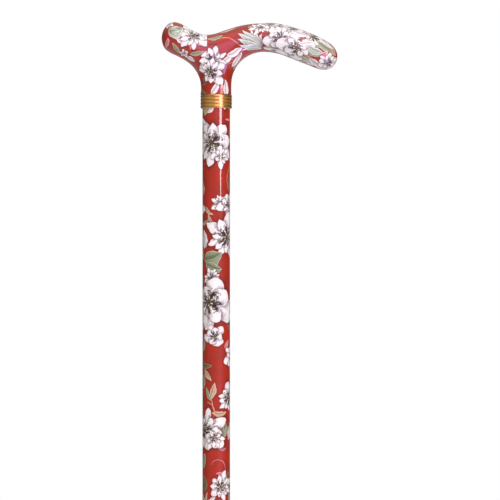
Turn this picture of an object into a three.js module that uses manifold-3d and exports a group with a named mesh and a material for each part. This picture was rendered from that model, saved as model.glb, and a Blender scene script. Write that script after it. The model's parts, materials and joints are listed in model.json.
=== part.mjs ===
// Single point walking cane: printed crutch-style handle, height-adjustable two-tube shaft with a snap
// button and a clamping nut, and a rubber ferrule. Millimetres, +Z up. The origin is the centre of the
// ferrule's base, +X points along the handle's long arm and -Y is the side with the button.
import * as THREE from "three";
import { mergeVertices } from "three/addons/utils/BufferGeometryUtils.js";
import Module from "manifold-3d";

const wasm = await Module();
wasm.setup();

// ---- Driving dimensions ----

const GAP = 0.3; // between pieces that fit into or against each other
const NECK_FACE = 806; // height of the handle's lower face
const UPPER_RADIUS = 11; // outside of the upper tube
const LOWER_RADIUS = 9.5; // outside of the lower tube
const TUBE_WALL = 1.2;
const UPPER_END = 262; // lower end of the upper tube
const LOWER_TOP = 416; // upper end of the lower tube
const BUTTON_HEIGHT = 386.2; // the button sits in the middle one of the height holes
const HOLE_PITCH = 25.4;
const HOLES_EACH_WAY = 3; // height holes above and below the middle one
const BUTTON_RADIUS = 3.7;
const SOCKET_FLOOR = 10.2; // bottom of the ferrule's socket
const THREAD = { pitch: 3, depth: 0.7, rootRadius: 12.3, clearance: 0.4, low: 242.2, high: 254.2 };
const ROUND = 40; // sides of a turned piece that shows
const INNER_ROUND = 28; // sides of a turned piece inside the shaft
const SMALL_ROUND = 20; // sides of a hole, screw or pin

const UPPER_BORE = UPPER_RADIUS - TUBE_WALL;
const LOWER_BORE = LOWER_RADIUS - TUBE_WALL;
const TUBE_TOP = NECK_FACE - GAP;

// ---- Geometry helpers ----

// A geometry turned about Z from [radius, height] points, given anticlockwise. A profile that
// doesn't touch the axis closes on itself.
function turned(profile, sides = ROUND) {
  const points = profile.map(([radius, height]) => new THREE.Vector2(radius, height));
  if (points[0].x > 0) points.push(points[0].clone());
  return new THREE.LatheGeometry(points, sides).rotateX(Math.PI / 2);
}

function ring(innerRadius, outerRadius, low, high, sides = ROUND) {
  return turned([[innerRadius, low], [outerRadius, low], [outerRadius, high], [innerRadius, high]], sides);
}

function bar(radius, low, high, sides = ROUND) {
  return turned([[0, low], [radius, low], [radius, high], [0, high]], sides);
}

// A round bar lying along Y, or along X when turned by a quarter.
function crossBar(radius, from, to, height, alongX = false) {
  const lying = new THREE.CylinderGeometry(radius, radius, to - from, SMALL_ROUND);
  lying.translate(0, (from + to) / 2, 0);
  if (alongX) lying.rotateZ(-Math.PI / 2);
  return lying.translate(0, 0, height);
}

function solidOf(geometry) {
  const bare = geometry.index ? geometry.toNonIndexed() : geometry.clone();
  bare.deleteAttribute("normal");
  bare.deleteAttribute("uv");
  const merged = mergeVertices(bare, 1e-3);
  return new wasm.Manifold(new wasm.Mesh({
    numProp: 3,
    vertProperties: merged.attributes.position.array,
    triVerts: new Uint32Array(merged.index.array),
  }));
}

function geometryOf(solid) {
  const mesh = solid.getMesh();
  const geometry = new THREE.BufferGeometry();
  geometry.setAttribute("position", new THREE.BufferAttribute(mesh.vertProperties, 3));
  geometry.setIndex(new THREE.BufferAttribute(mesh.triVerts, 1));
  return geometry;
}

function cut(body, ...tools) {
  let solid = solidOf(body);
  for (const tool of tools) solid = solid.subtract(solidOf(tool));
  return geometryOf(solid);
}

// The closed surface where field(x, y, z) is 0, with the field positive inside: one vertex for each
// grid cell that the surface crosses, slid along the field's slope onto the surface.
function surfaceOf(field, low, high, cell) {
  const size = low.map((value, axis) => Math.ceil((high[axis] - value) / cell) + 1);
  const place = (axis, index) => low[axis] + index * cell;
  const corner = (i, j, k) => (i * size[1] + j) * size[2] + k;
  const values = new Float32Array(size[0] * size[1] * size[2]);
  for (let i = 0; i < size[0]; i++)
    for (let j = 0; j < size[1]; j++)
      for (let k = 0; k < size[2]; k++)
        values[corner(i, j, k)] = field(place(0, i), place(1, j), place(2, k));

  const positions = [];
  const vertexOfCell = new Map();
  const steps = [[1, 0, 0], [0, 1, 0], [0, 0, 1]];
  const corners = [0, 1, 2, 3, 4, 5, 6, 7].map((n) => [n & 1, (n >> 1) & 1, n >> 2]);
  const edges = [];
  for (const start of corners)
    steps.forEach((step, axis) => {
      if (start[axis] === 0) edges.push([start, start.map((value, n) => value + step[n])]);
    });
  for (let i = 0; i < size[0] - 1; i++)
    for (let j = 0; j < size[1] - 1; j++)
      for (let k = 0; k < size[2] - 1; k++) {
        const sum = [0, 0, 0];
        let crossings = 0;
        for (const [a, b] of edges) {
          const va = values[corner(i + a[0], j + a[1], k + a[2])];
          const vb = values[corner(i + b[0], j + b[1], k + b[2])];
          if (va > 0 === vb > 0) continue;
          const share = va / (va - vb);
          for (let axis = 0; axis < 3; axis++) sum[axis] += a[axis] + share * (b[axis] - a[axis]);
          crossings++;
        }
        if (!crossings) continue;
        vertexOfCell.set(corner(i, j, k), positions.length / 3);
        positions.push(...sum.map((value, axis) => place(axis, [i, j, k][axis] + value / crossings)));
      }

  const triangles = [];
  for (let i = 1; i < size[0] - 1; i++)
    for (let j = 1; j < size[1] - 1; j++)
      for (let k = 1; k < size[2] - 1; k++)
        steps.forEach((step, axis) => {
          const inside = values[corner(i, j, k)] > 0;
          if (inside === values[corner(i + step[0], j + step[1], k + step[2])] > 0) return;
          const [u, v] = [steps[(axis + 1) % 3], steps[(axis + 2) % 3]];
          const quad = [[0, 0], [1, 0], [1, 1], [0, 1]].map(([a, b]) => {
            const cell = [i, j, k].map((value, n) => value - a * u[n] - b * v[n]);
            return vertexOfCell.get(corner(...cell));
          });
          if (!inside) quad.reverse();
          triangles.push(quad[0], quad[1], quad[2], quad[0], quad[2], quad[3]);
        });

  const probe = 0.05;
  for (let pass = 0; pass < 4; pass++)
    for (let n = 0; n < positions.length; n += 3) {
      const point = positions.slice(n, n + 3);
      const value = field(...point);
      const slope = steps.map((step) =>
        (field(...point.map((p, axis) => p + probe * step[axis])) - value) / probe);
      const steep = slope.reduce((sum, s) => sum + s * s, 0);
      const most = cell / 2 / Math.sqrt(steep);
      const move = Math.max(-most, Math.min(most, -value / steep));
      for (let axis = 0; axis < 3; axis++) positions[n + axis] += move * slope[axis];
    }
  const geometry = new THREE.BufferGeometry();
  geometry.setAttribute("position", new THREE.Float32BufferAttribute(positions, 3));
  geometry.setIndex(triangles);
  return geometry;
}

// ---- Handle ----

const NECK_RADIUS = 12.1;
const FILLET_RADIUS = 26; // under both arms, where the neck spreads into them
const EDGE_ROUNDING = 11.2; // how far in from the outline the handle reaches its full thickness
const HALF_THICKNESS = 12.1;
const PALM_SWELL = { rise: 0.8, centre: 42, reach: 68 }; // the grip is fuller under the palm
const TRIMMED_NECK = 8; // modelled below the neck's face, then cut off level
const SPIGOT_BORE = { radius: 8, top: 830 };
const SCREW_PILOT = { radius: 2.8, top: 847 };

// The handle's side outline in X and Z: up the neck's right side, round the long arm, back along the
// top, round the nose and down the neck's left side.
function handleOutline() {
  const below = NECK_FACE - TRIMMED_NECK;
  const rightFilletStart = 814.2;
  const leftFilletStart = 811;
  const knots = [[NECK_RADIUS, below], [NECK_RADIUS, NECK_FACE]];
  for (let degrees = 0; degrees <= 90; degrees += 15) {
    const turn = THREE.MathUtils.degToRad(degrees);
    knots.push([
      NECK_RADIUS + FILLET_RADIUS * (1 - Math.cos(turn)),
      rightFilletStart + FILLET_RADIUS * Math.sin(turn),
    ]);
  }
  knots.push(
    [50, 838.6], [62, 834.2], [74, 829.5], [84.5, 825.9], [91.5, 827.1], // under the long arm
    [95.8, 831.8], [96.9, 838], [93.8, 844.4], [87.5, 849], // tail end
    [79, 853.6], [70, 857.1], [60, 860.2], [47, 863], [34, 862.9], [21, 861.4], // top of the long arm
    [8.5, 857.9], [-1, 854.7], [-8, 853.8], [-15, 855.5], // saddle
    [-22, 858.9], [-28.5, 862.7], [-34.5, 864], [-39.8, 861.2], [-43.1, 855.3], // nose
    [-43.5, 848.8], [-41.2, 843], [-36.8, 839.5], [-31.6, 837],
  );
  for (let degrees = 60; degrees >= 0; degrees -= 15) {
    const turn = THREE.MathUtils.degToRad(degrees);
    knots.push([
      -NECK_RADIUS - FILLET_RADIUS * (1 - Math.cos(turn)),
      leftFilletStart + FILLET_RADIUS * Math.sin(turn),
    ]);
  }
  knots.push([-NECK_RADIUS, below]);
  const points = knots.map(([x, z]) => new THREE.Vector3(x, 0, z));
  const steps = 300;
  return new THREE.CatmullRomCurve3(points, true, "centripetal").getPoints(steps).slice(0, -1);
}

// Distance from (x, z) to the outline, positive inside it.
function depthInside(outline, x, z) {
  let nearest = Infinity;
  let inside = false;
  let previous = outline[outline.length - 1];
  for (const next of outline) {
    const [dx, dz] = [next.x - previous.x, next.z - previous.z];
    const [px, pz] = [x - previous.x, z - previous.z];
    const along = THREE.MathUtils.clamp((px * dx + pz * dz) / (dx * dx + dz * dz), 0, 1);
    nearest = Math.min(nearest, Math.hypot(px - along * dx, pz - along * dz));
    if (next.z > z !== previous.z > z && px < (pz / dz) * dx) inside = !inside;
    previous = next;
  }
  return inside ? nearest : -nearest;
}

function handle() {
  const outline = handleOutline();
  const field = (x, y, z) => {
    const share = Math.min(depthInside(outline, x, z) / EDGE_ROUNDING, 1);
    const halfThickness = HALF_THICKNESS
      + PALM_SWELL.rise * Math.cos(((x - PALM_SWELL.centre) / PALM_SWELL.reach) * Math.PI);
    return (halfThickness ** 2) * (2 * share - share * share) - y * y;
  };
  const cell = 3.3;
  const reach = HALF_THICKNESS + PALM_SWELL.rise + cell;
  const box = new THREE.Box2().setFromPoints(outline.map((point) => new THREE.Vector2(point.x, point.z)));
  box.expandByScalar(2 * cell);
  const blank = surfaceOf(field, [box.min.x, -reach, box.min.y], [box.max.x, reach, box.max.y], cell);
  const blockSize = 60;
  const belowFace = new THREE.BoxGeometry(blockSize, blockSize, blockSize)
    .translate(0, 0, NECK_FACE - blockSize / 2);
  return cut(
    blank,
    belowFace,
    bar(SPIGOT_BORE.radius, NECK_FACE - 5, SPIGOT_BORE.top),
    bar(SCREW_PILOT.radius, NECK_FACE - 5, SCREW_PILOT.top, SMALL_ROUND),
  );
}

// ---- Handle joint: spigot, screw, washer, pins and collar ----

const SPIGOT_LOW = 764;
const PIN = { radius: 1.5, inner: 4.6, height: 800 };

function handleSpigot() {
  const hole = SCREW_PILOT.radius;
  const tubePart = UPPER_BORE - GAP;
  const borePart = SPIGOT_BORE.radius - GAP;
  const shoulder = TUBE_TOP - 0.1;
  const top = SPIGOT_BORE.top - 0.5;
  const body = turned([
    [hole, SPIGOT_LOW], [tubePart - 1, SPIGOT_LOW], [tubePart, SPIGOT_LOW + 1], [tubePart, shoulder],
    [borePart, shoulder], [borePart, top - 1], [borePart - 1, top], [hole, top],
  ], INNER_ROUND);
  const reach = PIN.inner - GAP;
  const drill = PIN.radius + GAP;
  return cut(
    body,
    crossBar(drill, reach, UPPER_RADIUS, PIN.height, true),
    crossBar(drill, -UPPER_RADIUS, -reach, PIN.height, true),
  );
}

const WASHER = { radius: 7, thickness: 1.5, top: SPIGOT_LOW - GAP };

function screwWasher() {
  return ring(SCREW_PILOT.radius, WASHER.radius, WASHER.top - WASHER.thickness, WASHER.top, INNER_ROUND);
}

function handleScrew() {
  const head = WASHER.top - WASHER.thickness - GAP;
  const shank = 2.5;
  const tip = SCREW_PILOT.top - 1;
  const body = turned([
    [0, head - 4], [4, head - 4], [5, head - 3], [5, head], [shank, head], [shank, tip - 3], [0, tip],
  ], SMALL_ROUND);
  const hexKey = new THREE.CylinderGeometry(2, 2, 5, 6).rotateX(Math.PI / 2).translate(0, 0, head - 4);
  return cut(body, hexKey);
}

function retainingPin(side) {
  const [inner, outer] = [PIN.inner, UPPER_RADIUS - 0.1];
  const [from, to] = side > 0 ? [inner, outer] : [-outer, -inner];
  return crossBar(PIN.radius, from, to, PIN.height, true);
}

function collar() {
  const ridges = 4;
  const groove = 12;
  const ridgeHeight = 0.55;
  const low = 794.8;
  const pitch = (TUBE_TOP - low) / ridges;
  const bore = UPPER_RADIUS + GAP;
  const profile = [[bore, low], [groove, low]];
  for (let ridge = 0; ridge < ridges; ridge++)
    for (const share of [0.2, 0.5, 0.8, 1])
      profile.push([groove + ridgeHeight * Math.sin(share * Math.PI), low + (ridge + share) * pitch]);
  profile.push([bore, TUBE_TOP]);
  return turned(profile);
}

// ---- Shaft tubes ----

function upperTube() {
  const pinHole = PIN.radius + GAP;
  const holes = [crossBar(pinHole, -2 * UPPER_RADIUS, 2 * UPPER_RADIUS, PIN.height, true)];
  for (let n = -HOLES_EACH_WAY; n <= HOLES_EACH_WAY; n++)
    holes.push(crossBar(BUTTON_RADIUS + GAP, -2 * UPPER_RADIUS, 0, BUTTON_HEIGHT + n * HOLE_PITCH));
  return cut(ring(UPPER_BORE, UPPER_RADIUS, UPPER_END, TUBE_TOP), ...holes);
}

const DISC_THICKNESS = 1.5;
const LOWER_END = SOCKET_FLOOR + GAP + DISC_THICKNESS + GAP;

function lowerTube() {
  const buttonHole = crossBar(BUTTON_RADIUS + GAP, -2 * LOWER_RADIUS, 0, BUTTON_HEIGHT);
  return cut(ring(LOWER_BORE, LOWER_RADIUS, LOWER_END, LOWER_TOP), buttonHole);
}

function glideBush() {
  const bore = 6;
  const plug = LOWER_BORE - GAP;
  const seat = LOWER_TOP + GAP;
  return turned([
    [bore, LOWER_TOP - 12], [plug - 0.8, LOWER_TOP - 12], [plug, LOWER_TOP - 11.2], [plug, seat],
    [LOWER_RADIUS, seat], [LOWER_RADIUS, seat + 1.7], [LOWER_RADIUS - 0.8, seat + 2.5], [bore, seat + 2.5],
  ], INNER_ROUND);
}

// ---- Snap button and its spring ----

const FLANGE_FRONT = -6.4;
const FLANGE_BACK = -4.9;

// Turned about Z with its dome up, then laid over so that the dome points to -Y.
function snapButton() {
  const flange = 4.7;
  const domeTip = 13.6;
  const domeHeight = 1.8;
  const profile = [
    [0, -FLANGE_BACK], [flange, -FLANGE_BACK], [flange, -FLANGE_FRONT], [BUTTON_RADIUS, -FLANGE_FRONT],
  ];
  for (let degrees = 0; degrees <= 90; degrees += 22.5) {
    const turn = THREE.MathUtils.degToRad(degrees);
    const radius = degrees === 90 ? 0 : BUTTON_RADIUS * Math.cos(turn);
    profile.push([radius, domeTip - domeHeight + domeHeight * Math.sin(turn)]);
  }
  return turned(profile, INNER_ROUND).rotateX(Math.PI / 2).translate(0, 0, BUTTON_HEIGHT);
}

// A hairpin of flat spring steel: the front leg carries the button, the back leg braces on the tube.
function buttonSpring() {
  const thickness = 0.6;
  const width = 7;
  const bend = 3.5;
  const bendHeight = BUTTON_HEIGHT - 36;
  const frontLeg = FLANGE_BACK + GAP + thickness / 2;
  const line = [[frontLeg, BUTTON_HEIGHT + 6], [frontLeg, BUTTON_HEIGHT - 8]];
  for (let degrees = 180; degrees <= 360; degrees += 30) {
    const turn = THREE.MathUtils.degToRad(degrees);
    line.push([bend * Math.cos(turn), bendHeight + bend * Math.sin(turn)]);
  }
  line.push([6.8, BUTTON_HEIGHT - 4], [6.2, BUTTON_HEIGHT + 1]);
  const side = (offset) => line.map(([y, z], n) => {
    const [a, b] = [line[Math.max(n - 1, 0)], line[Math.min(n + 1, line.length - 1)]];
    const length = Math.hypot(b[0] - a[0], b[1] - a[1]);
    return new THREE.Vector2(y - (offset * (b[1] - a[1])) / length, z + (offset * (b[0] - a[0])) / length);
  });
  const outline = new THREE.Shape([...side(-thickness / 2), ...side(thickness / 2).reverse()]);
  const strip = new THREE.ExtrudeGeometry(outline, { depth: width, bevelEnabled: false });
  // The outline's axes become Y and Z, and the strip's width lies along X.
  return strip.rotateX(Math.PI / 2).rotateZ(Math.PI / 2).translate(-width / 2, 0, 0);
}

// ---- Clamp: threaded socket on the upper tube, wedge ring and nut ----

// A right-hand triangular thread's height above its root at a point. It starts at THREAD.low and runs
// out at the height end.
function threadRise(x, y, z, end) {
  const turn = z / THREAD.pitch - Math.atan2(y, x) / (2 * Math.PI);
  const share = Math.abs(turn - Math.floor(turn) - 0.5) * 2;
  const runOut = Math.min(z - THREAD.low, end - z) / (THREAD.pitch / 2);
  return THREAD.depth * share * THREE.MathUtils.clamp(runOut, 0, 1);
}

// Pushes a turned wall of the given radius out into a thread.
function thread(geometry, wallRadius, end) {
  const position = geometry.attributes.position;
  for (let n = 0; n < position.count; n++) {
    const [x, y, z] = [position.getX(n), position.getY(n), position.getZ(n)];
    if (Math.abs(Math.hypot(x, y) - wallRadius) > 0.01) continue;
    const stretch = 1 + threadRise(x, y, z, end) / wallRadius;
    position.setXY(n, x * stretch, y * stretch);
  }
  return geometry;
}

// A threaded wall's points, four to each turn.
function threadWall(wallRadius, end) {
  const step = THREAD.pitch / 4;
  const points = [];
  for (let z = THREAD.low; z < end + step / 2; z += step) points.push([wallRadius, z]);
  return points;
}

const THREAD_SIDES = 32;
const SOCKET_LOW = 240;
const NUT_TOP = 257.6;
const NUT_LOW = 233;
const NUT_FLOOR = 237;
const CONE = { mouth: 11.4, slope: 0.16 };

function lockSocket() {
  const sleeve = 13.5;
  const shoulder = NUT_TOP + 0.4;
  const top = UPPER_END + 28;
  const edge = 1.2;
  const tubeSeat = UPPER_END - GAP;
  const tubeBore = UPPER_RADIUS + GAP;
  const coneTop = SOCKET_LOW + (CONE.mouth - UPPER_BORE) / CONE.slope;
  return thread(turned([
    [CONE.mouth, SOCKET_LOW], [THREAD.rootRadius, SOCKET_LOW],
    ...threadWall(THREAD.rootRadius, THREAD.high),
    [THREAD.rootRadius, shoulder], [sleeve, shoulder], [sleeve, top - edge], [sleeve - edge, top],
    [tubeBore, top], [tubeBore, tubeSeat], [UPPER_BORE, tubeSeat], [UPPER_BORE, coneTop],
  ], THREAD_SIDES), THREAD.rootRadius, THREAD.high);
}

// A split ring, so that it can close on the lower tube.
function lockWedge() {
  const bore = LOWER_RADIUS + GAP;
  const flange = 12;
  const low = NUT_FLOOR + GAP;
  const flangeTop = SOCKET_LOW - GAP;
  const top = SOCKET_LOW + 4.5;
  const cone = (z) => CONE.mouth - CONE.slope * (z - SOCKET_LOW) - GAP - 0.05;
  const slitWidth = 1.6;
  const slit = new THREE.BoxGeometry(slitWidth, 8, 30).translate(0, bore + 2, SOCKET_LOW);
  return cut(turned([
    [bore, low], [flange, low], [flange, flangeTop], [cone(SOCKET_LOW), flangeTop],
    [cone(top), top], [bore, top],
  ], THREAD_SIDES), slit);
}

function lockNut() {
  const flutes = 12;
  const outerRadius = 15.4;
  const fluteDepth = 0.8;
  const bevel = 1;
  const points = [];
  const steps = flutes * 5;
  for (let n = 0; n < steps; n++) {
    const turn = (n / steps) * 2 * Math.PI;
    const radius = outerRadius - bevel - (fluteDepth * (1 + Math.cos(flutes * turn))) / 2;
    points.push(new THREE.Vector2(radius * Math.cos(turn), radius * Math.sin(turn)));
  }
  const body = new THREE.ExtrudeGeometry(new THREE.Shape(points), {
    depth: NUT_TOP - NUT_LOW - 2 * bevel, bevelThickness: bevel, bevelSize: bevel, bevelSegments: 2,
  }).translate(0, 0, NUT_LOW + bevel);
  // The nut's thread runs on past its mouth, so that the nut can turn down off the socket's thread.
  const root = THREAD.rootRadius + THREAD.clearance;
  const end = NUT_TOP + THREAD.pitch;
  const hollow = thread(
    turned([[0, NUT_FLOOR], [root, NUT_FLOOR], ...threadWall(root, end), [0, end]], THREAD_SIDES),
    root,
    end,
  );
  const shaftHole = bar(LOWER_RADIUS + 0.5, NUT_LOW - 2, NUT_FLOOR + 1);
  return cut(body, hollow, shaftHole);
}

// ---- Ferrule ----

function ferrule() {
  const baseRadius = 19;
  const sleeveRadius = 12.4;
  const top = 46;
  const tread = 1.2;
  const socket = LOWER_RADIUS + GAP;
  const grooveWidth = 1.6;
  const profile = [[0, 0]];
  for (const start of [5.5, 10, 14.5]) {
    const end = start + grooveWidth;
    profile.push([start, 0], [start, tread], [end, tread], [end, 0]);
  }
  profile.push([baseRadius - 1, 0], [baseRadius, 1], [baseRadius, 6]);
  // The skirt sweeps in to the sleeve on a quarter of an ellipse.
  const [sweepLow, sweepHigh] = [7, 21];
  for (let degrees = 0; degrees <= 90; degrees += 18) {
    const turn = THREE.MathUtils.degToRad(degrees);
    profile.push([
      sleeveRadius + (baseRadius - 1 - sleeveRadius) * (1 - Math.sin(turn)),
      sweepLow + (sweepHigh - sweepLow) * (1 - Math.cos(turn)),
    ]);
  }
  const bead = 0.9;
  profile.push(
    [sleeveRadius, top - 5], [sleeveRadius + bead, top - 4], [sleeveRadius + bead, top - 1],
    [sleeveRadius, top], [socket, top], [socket, SOCKET_FLOOR], [0, SOCKET_FLOOR],
  );
  return turned(profile);
}

function ferruleDisc() {
  const low = SOCKET_FLOOR + GAP;
  return bar(LOWER_RADIUS - 0.1, low, low + DISC_THICKNESS, INNER_ROUND);
}

// ---- Materials ----

const printedRed = new THREE.MeshStandardMaterial({ color: 0xb43a2a, roughness: 0.22, metalness: 0 });
const gold = new THREE.MeshStandardMaterial({ color: 0xc08a32, roughness: 0.25, metalness: 1 });
const satinAluminium = new THREE.MeshStandardMaterial({ color: 0xa6a8ab, roughness: 0.35, metalness: 1 });
const steel = new THREE.MeshStandardMaterial({ color: 0x9a9ca0, roughness: 0.3, metalness: 1 });
const nylon = new THREE.MeshStandardMaterial({ color: 0x1c1c1d, roughness: 0.5, metalness: 0 });
const paleNylon = new THREE.MeshStandardMaterial({ color: 0xd8d4c8, roughness: 0.55, metalness: 0 });
const rubber = new THREE.MeshStandardMaterial({ color: 0x161616, roughness: 0.8, metalness: 0 });

// ---- Assembly ----

function piece(name, geometry, material) {
  const mesh = new THREE.Mesh(geometry, material);
  mesh.name = name;
  return mesh;
}

const upperShaft = new THREE.Group();
upperShaft.add(
  piece("handle", handle(), printedRed),
  piece("handle_spigot", handleSpigot(), paleNylon),
  piece("screw_washer", screwWasher(), steel),
  piece("handle_screw", handleScrew(), steel),
  piece("retaining_pin_left", retainingPin(-1), steel),
  piece("retaining_pin_right", retainingPin(1), steel),
  piece("collar", collar(), gold),
  piece("upper_tube", upperTube(), printedRed),
  piece("lock_socket", lockSocket(), nylon),
);

const clamp = new THREE.Group();
clamp.add(
  piece("lock_wedge", lockWedge(), paleNylon),
  piece("lock_nut", lockNut(), nylon),
);

const lowerShaft = new THREE.Group();
lowerShaft.add(
  piece("lower_tube", lowerTube(), satinAluminium),
  piece("glide_bush", glideBush(), paleNylon),
  piece("snap_button", snapButton(), steel),
  piece("button_spring", buttonSpring(), steel),
  piece("ferrule_disc", ferruleDisc(), steel),
  piece("ferrule", ferrule(), rubber),
);

const cane = new THREE.Group();
cane.add(upperShaft, clamp, lowerShaft);

export default cane;
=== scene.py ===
import json
import math

import bmesh
import bpy
import numpy as np
from mathutils import Matrix, Vector

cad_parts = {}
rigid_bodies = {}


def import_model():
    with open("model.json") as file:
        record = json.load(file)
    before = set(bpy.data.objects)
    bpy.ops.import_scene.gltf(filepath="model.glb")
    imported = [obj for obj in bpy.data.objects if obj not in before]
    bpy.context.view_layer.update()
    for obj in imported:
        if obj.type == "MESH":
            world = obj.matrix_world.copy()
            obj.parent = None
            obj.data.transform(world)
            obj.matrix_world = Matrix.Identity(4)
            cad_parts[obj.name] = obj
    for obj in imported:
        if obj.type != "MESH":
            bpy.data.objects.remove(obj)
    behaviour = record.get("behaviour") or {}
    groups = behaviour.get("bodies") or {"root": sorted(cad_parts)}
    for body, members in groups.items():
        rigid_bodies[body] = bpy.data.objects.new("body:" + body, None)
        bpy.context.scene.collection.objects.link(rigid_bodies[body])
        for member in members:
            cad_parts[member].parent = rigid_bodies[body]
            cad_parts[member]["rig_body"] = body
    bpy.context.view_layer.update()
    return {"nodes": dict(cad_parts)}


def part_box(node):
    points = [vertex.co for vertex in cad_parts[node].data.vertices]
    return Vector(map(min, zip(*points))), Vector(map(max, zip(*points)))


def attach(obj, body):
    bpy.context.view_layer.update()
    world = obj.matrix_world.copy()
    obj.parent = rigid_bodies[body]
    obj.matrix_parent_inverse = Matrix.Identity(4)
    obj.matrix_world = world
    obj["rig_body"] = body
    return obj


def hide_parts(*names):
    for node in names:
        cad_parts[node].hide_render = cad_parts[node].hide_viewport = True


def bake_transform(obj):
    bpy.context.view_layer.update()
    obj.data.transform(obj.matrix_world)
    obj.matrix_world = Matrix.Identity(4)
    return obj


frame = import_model()

# A walking cane with a floral print. The CAD frame gives the parts' places and main sizes, and this
# script adds fine meshes, materials, light and the camera. Metres, +Z up, camera on the -Y side.

MM = 0.001


def radius_and_heights(node):
    """Outer radius, lowest and highest point of a CAD node that is turned about Z."""
    low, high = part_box(node)
    return (high.x - low.x) / 2, low.z, high.z


TUBE_RADIUS, TUBE_LOW, TUBE_HIGH = radius_and_heights("upper_tube")
LOWER_RADIUS, LOWER_LOW, LOWER_HIGH = radius_and_heights("lower_tube")
COLLAR_RADIUS, COLLAR_LOW, COLLAR_HIGH = radius_and_heights("collar")
SOCKET_RADIUS, SOCKET_LOW, SOCKET_HIGH = radius_and_heights("lock_socket")
NUT_RADIUS, NUT_LOW, NUT_HIGH = radius_and_heights("lock_nut")
FERRULE_RADIUS, _, FERRULE_HIGH = radius_and_heights("ferrule")
HANDLE_LOW, HANDLE_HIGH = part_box("handle")
BUTTON_LOW, BUTTON_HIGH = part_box("snap_button")
BUTTON_HEIGHT = (BUTTON_LOW.z + BUTTON_HIGH.z) / 2
PIN_LOW, PIN_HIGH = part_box("retaining_pin_right")
PIN_HEIGHT = (PIN_LOW.z + PIN_HIGH.z) / 2
WALL = 1.2 * MM
GAP = 0.3 * MM
BUTTON_RADIUS = 3.7 * MM
PIN_HOLE_RADIUS = 1.8 * MM
HOLE_PITCH = 25.4 * MM
HOLES_EACH_WAY = 3


# ---- Shader formulas ----

class Term:
    """A shader value that formulas can add, multiply and so on."""

    def __init__(self, graph, socket):
        self.graph = graph
        self.socket = socket

    def __add__(self, other):
        return self.graph.maths("ADD", self, other)

    def __radd__(self, other):
        return self.graph.maths("ADD", other, self)

    def __sub__(self, other):
        return self.graph.maths("SUBTRACT", self, other)

    def __rsub__(self, other):
        return self.graph.maths("SUBTRACT", other, self)

    def __mul__(self, other):
        return self.graph.maths("MULTIPLY", self, other)

    def __rmul__(self, other):
        return self.graph.maths("MULTIPLY", other, self)

    def __truediv__(self, other):
        return self.graph.maths("DIVIDE", self, other)

    def __pow__(self, other):
        return self.graph.maths("POWER", self, other)

    def __abs__(self):
        return self.graph.maths("ABSOLUTE", self)


class Graph:
    """Adds nodes to a shader tree and wires them."""

    def __init__(self, tree):
        self.tree = tree

    def node(self, kind, **settings):
        made = self.tree.nodes.new(kind)
        for name, value in settings.items():
            setattr(made, name, value)
        return made

    def feed(self, socket, value):
        if isinstance(value, Term):
            self.tree.links.new(value.socket, socket)
        elif isinstance(value, tuple) and len(value) == 3 and len(socket.default_value) == 4:
            socket.default_value = (*value, 1)
        else:
            socket.default_value = value

    def maths(self, operation, *values):
        made = self.node("ShaderNodeMath", operation=operation)
        for socket, value in zip(made.inputs, values):
            self.feed(socket, value)
        return Term(self, made.outputs[0])

    def ramp(self, value, low, high):
        """0 up to low, 1 from high on, and a smooth step between."""
        made = self.node("ShaderNodeMapRange", interpolation_type="SMOOTHSTEP", clamp=False)
        self.feed(made.inputs["Value"], value)
        self.feed(made.inputs["From Min"], low)
        self.feed(made.inputs["From Max"], high)
        return Term(self, made.outputs["Result"])

    def mix(self, share, first, second, blend="MIX"):
        made = self.node("ShaderNodeMix", data_type="RGBA", blend_type=blend)
        self.feed(made.inputs[0], share)
        self.feed(made.inputs[6], first)
        self.feed(made.inputs[7], second)
        return Term(self, made.outputs[2])

    def vector(self, x, y, z=0.0):
        made = self.node("ShaderNodeCombineXYZ")
        for socket, value in zip(made.inputs, (x, y, z)):
            self.feed(socket, value)
        return Term(self, made.outputs[0])

    def split(self, vector):
        made = self.node("ShaderNodeSeparateXYZ")
        self.feed(made.inputs[0], vector)
        return [Term(self, output) for output in made.outputs]

    def noise_node(self, vector, scale, detail=2.0, roughness=0.5):
        made = self.node("ShaderNodeTexNoise")
        self.feed(made.inputs["Vector"], vector)
        self.feed(made.inputs["Scale"], scale)
        self.feed(made.inputs["Detail"], detail)
        self.feed(made.inputs["Roughness"], roughness)
        return made

    def noise(self, vector, scale, detail=2.0, roughness=0.5):
        return Term(self, self.noise_node(vector, scale, detail, roughness).outputs[0])

    def three_noises(self, vector, scale, detail=2.0, roughness=0.5):
        colour = self.noise_node(vector, scale, detail, roughness).outputs[1]
        made = self.node("ShaderNodeSeparateColor")
        self.feed(made.inputs[0], Term(self, colour))
        return [Term(self, output) for output in made.outputs]

    def chance(self, value):
        """A number from 0 to 1 that is fixed for each value."""
        made = self.node("ShaderNodeTexWhiteNoise", noise_dimensions="1D")
        self.feed(made.inputs["W"], value)
        return Term(self, made.outputs[0])

    def place(self):
        """The point on the surface, in metres, in the row frame at rest."""
        made = self.node("ShaderNodeTexCoord")
        return Term(self, made.outputs["Object"])

    def polar(self):
        """Distance from the shaft's axis, angle round it (0 at the front, growing to +X) and height."""
        x, y, z = self.split(self.place())
        radius = (x * x + y * y) ** 0.5
        angle = self.maths("ARCTAN2", x, y * -1)
        return radius, angle, z

    def use(self, group, **values):
        made = self.node("ShaderNodeGroup", node_tree=group)
        for name, value in values.items():
            self.feed(made.inputs[name], value)
        outputs = [Term(self, output) for output in made.outputs]
        return outputs[0] if len(outputs) == 1 else outputs

    def bump(self, height, distance, strength=1.0):
        made = self.node("ShaderNodeBump")
        made.inputs["Strength"].default_value = strength
        made.inputs["Distance"].default_value = distance
        self.feed(made.inputs["Height"], height)
        return Term(self, made.outputs[0])


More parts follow.
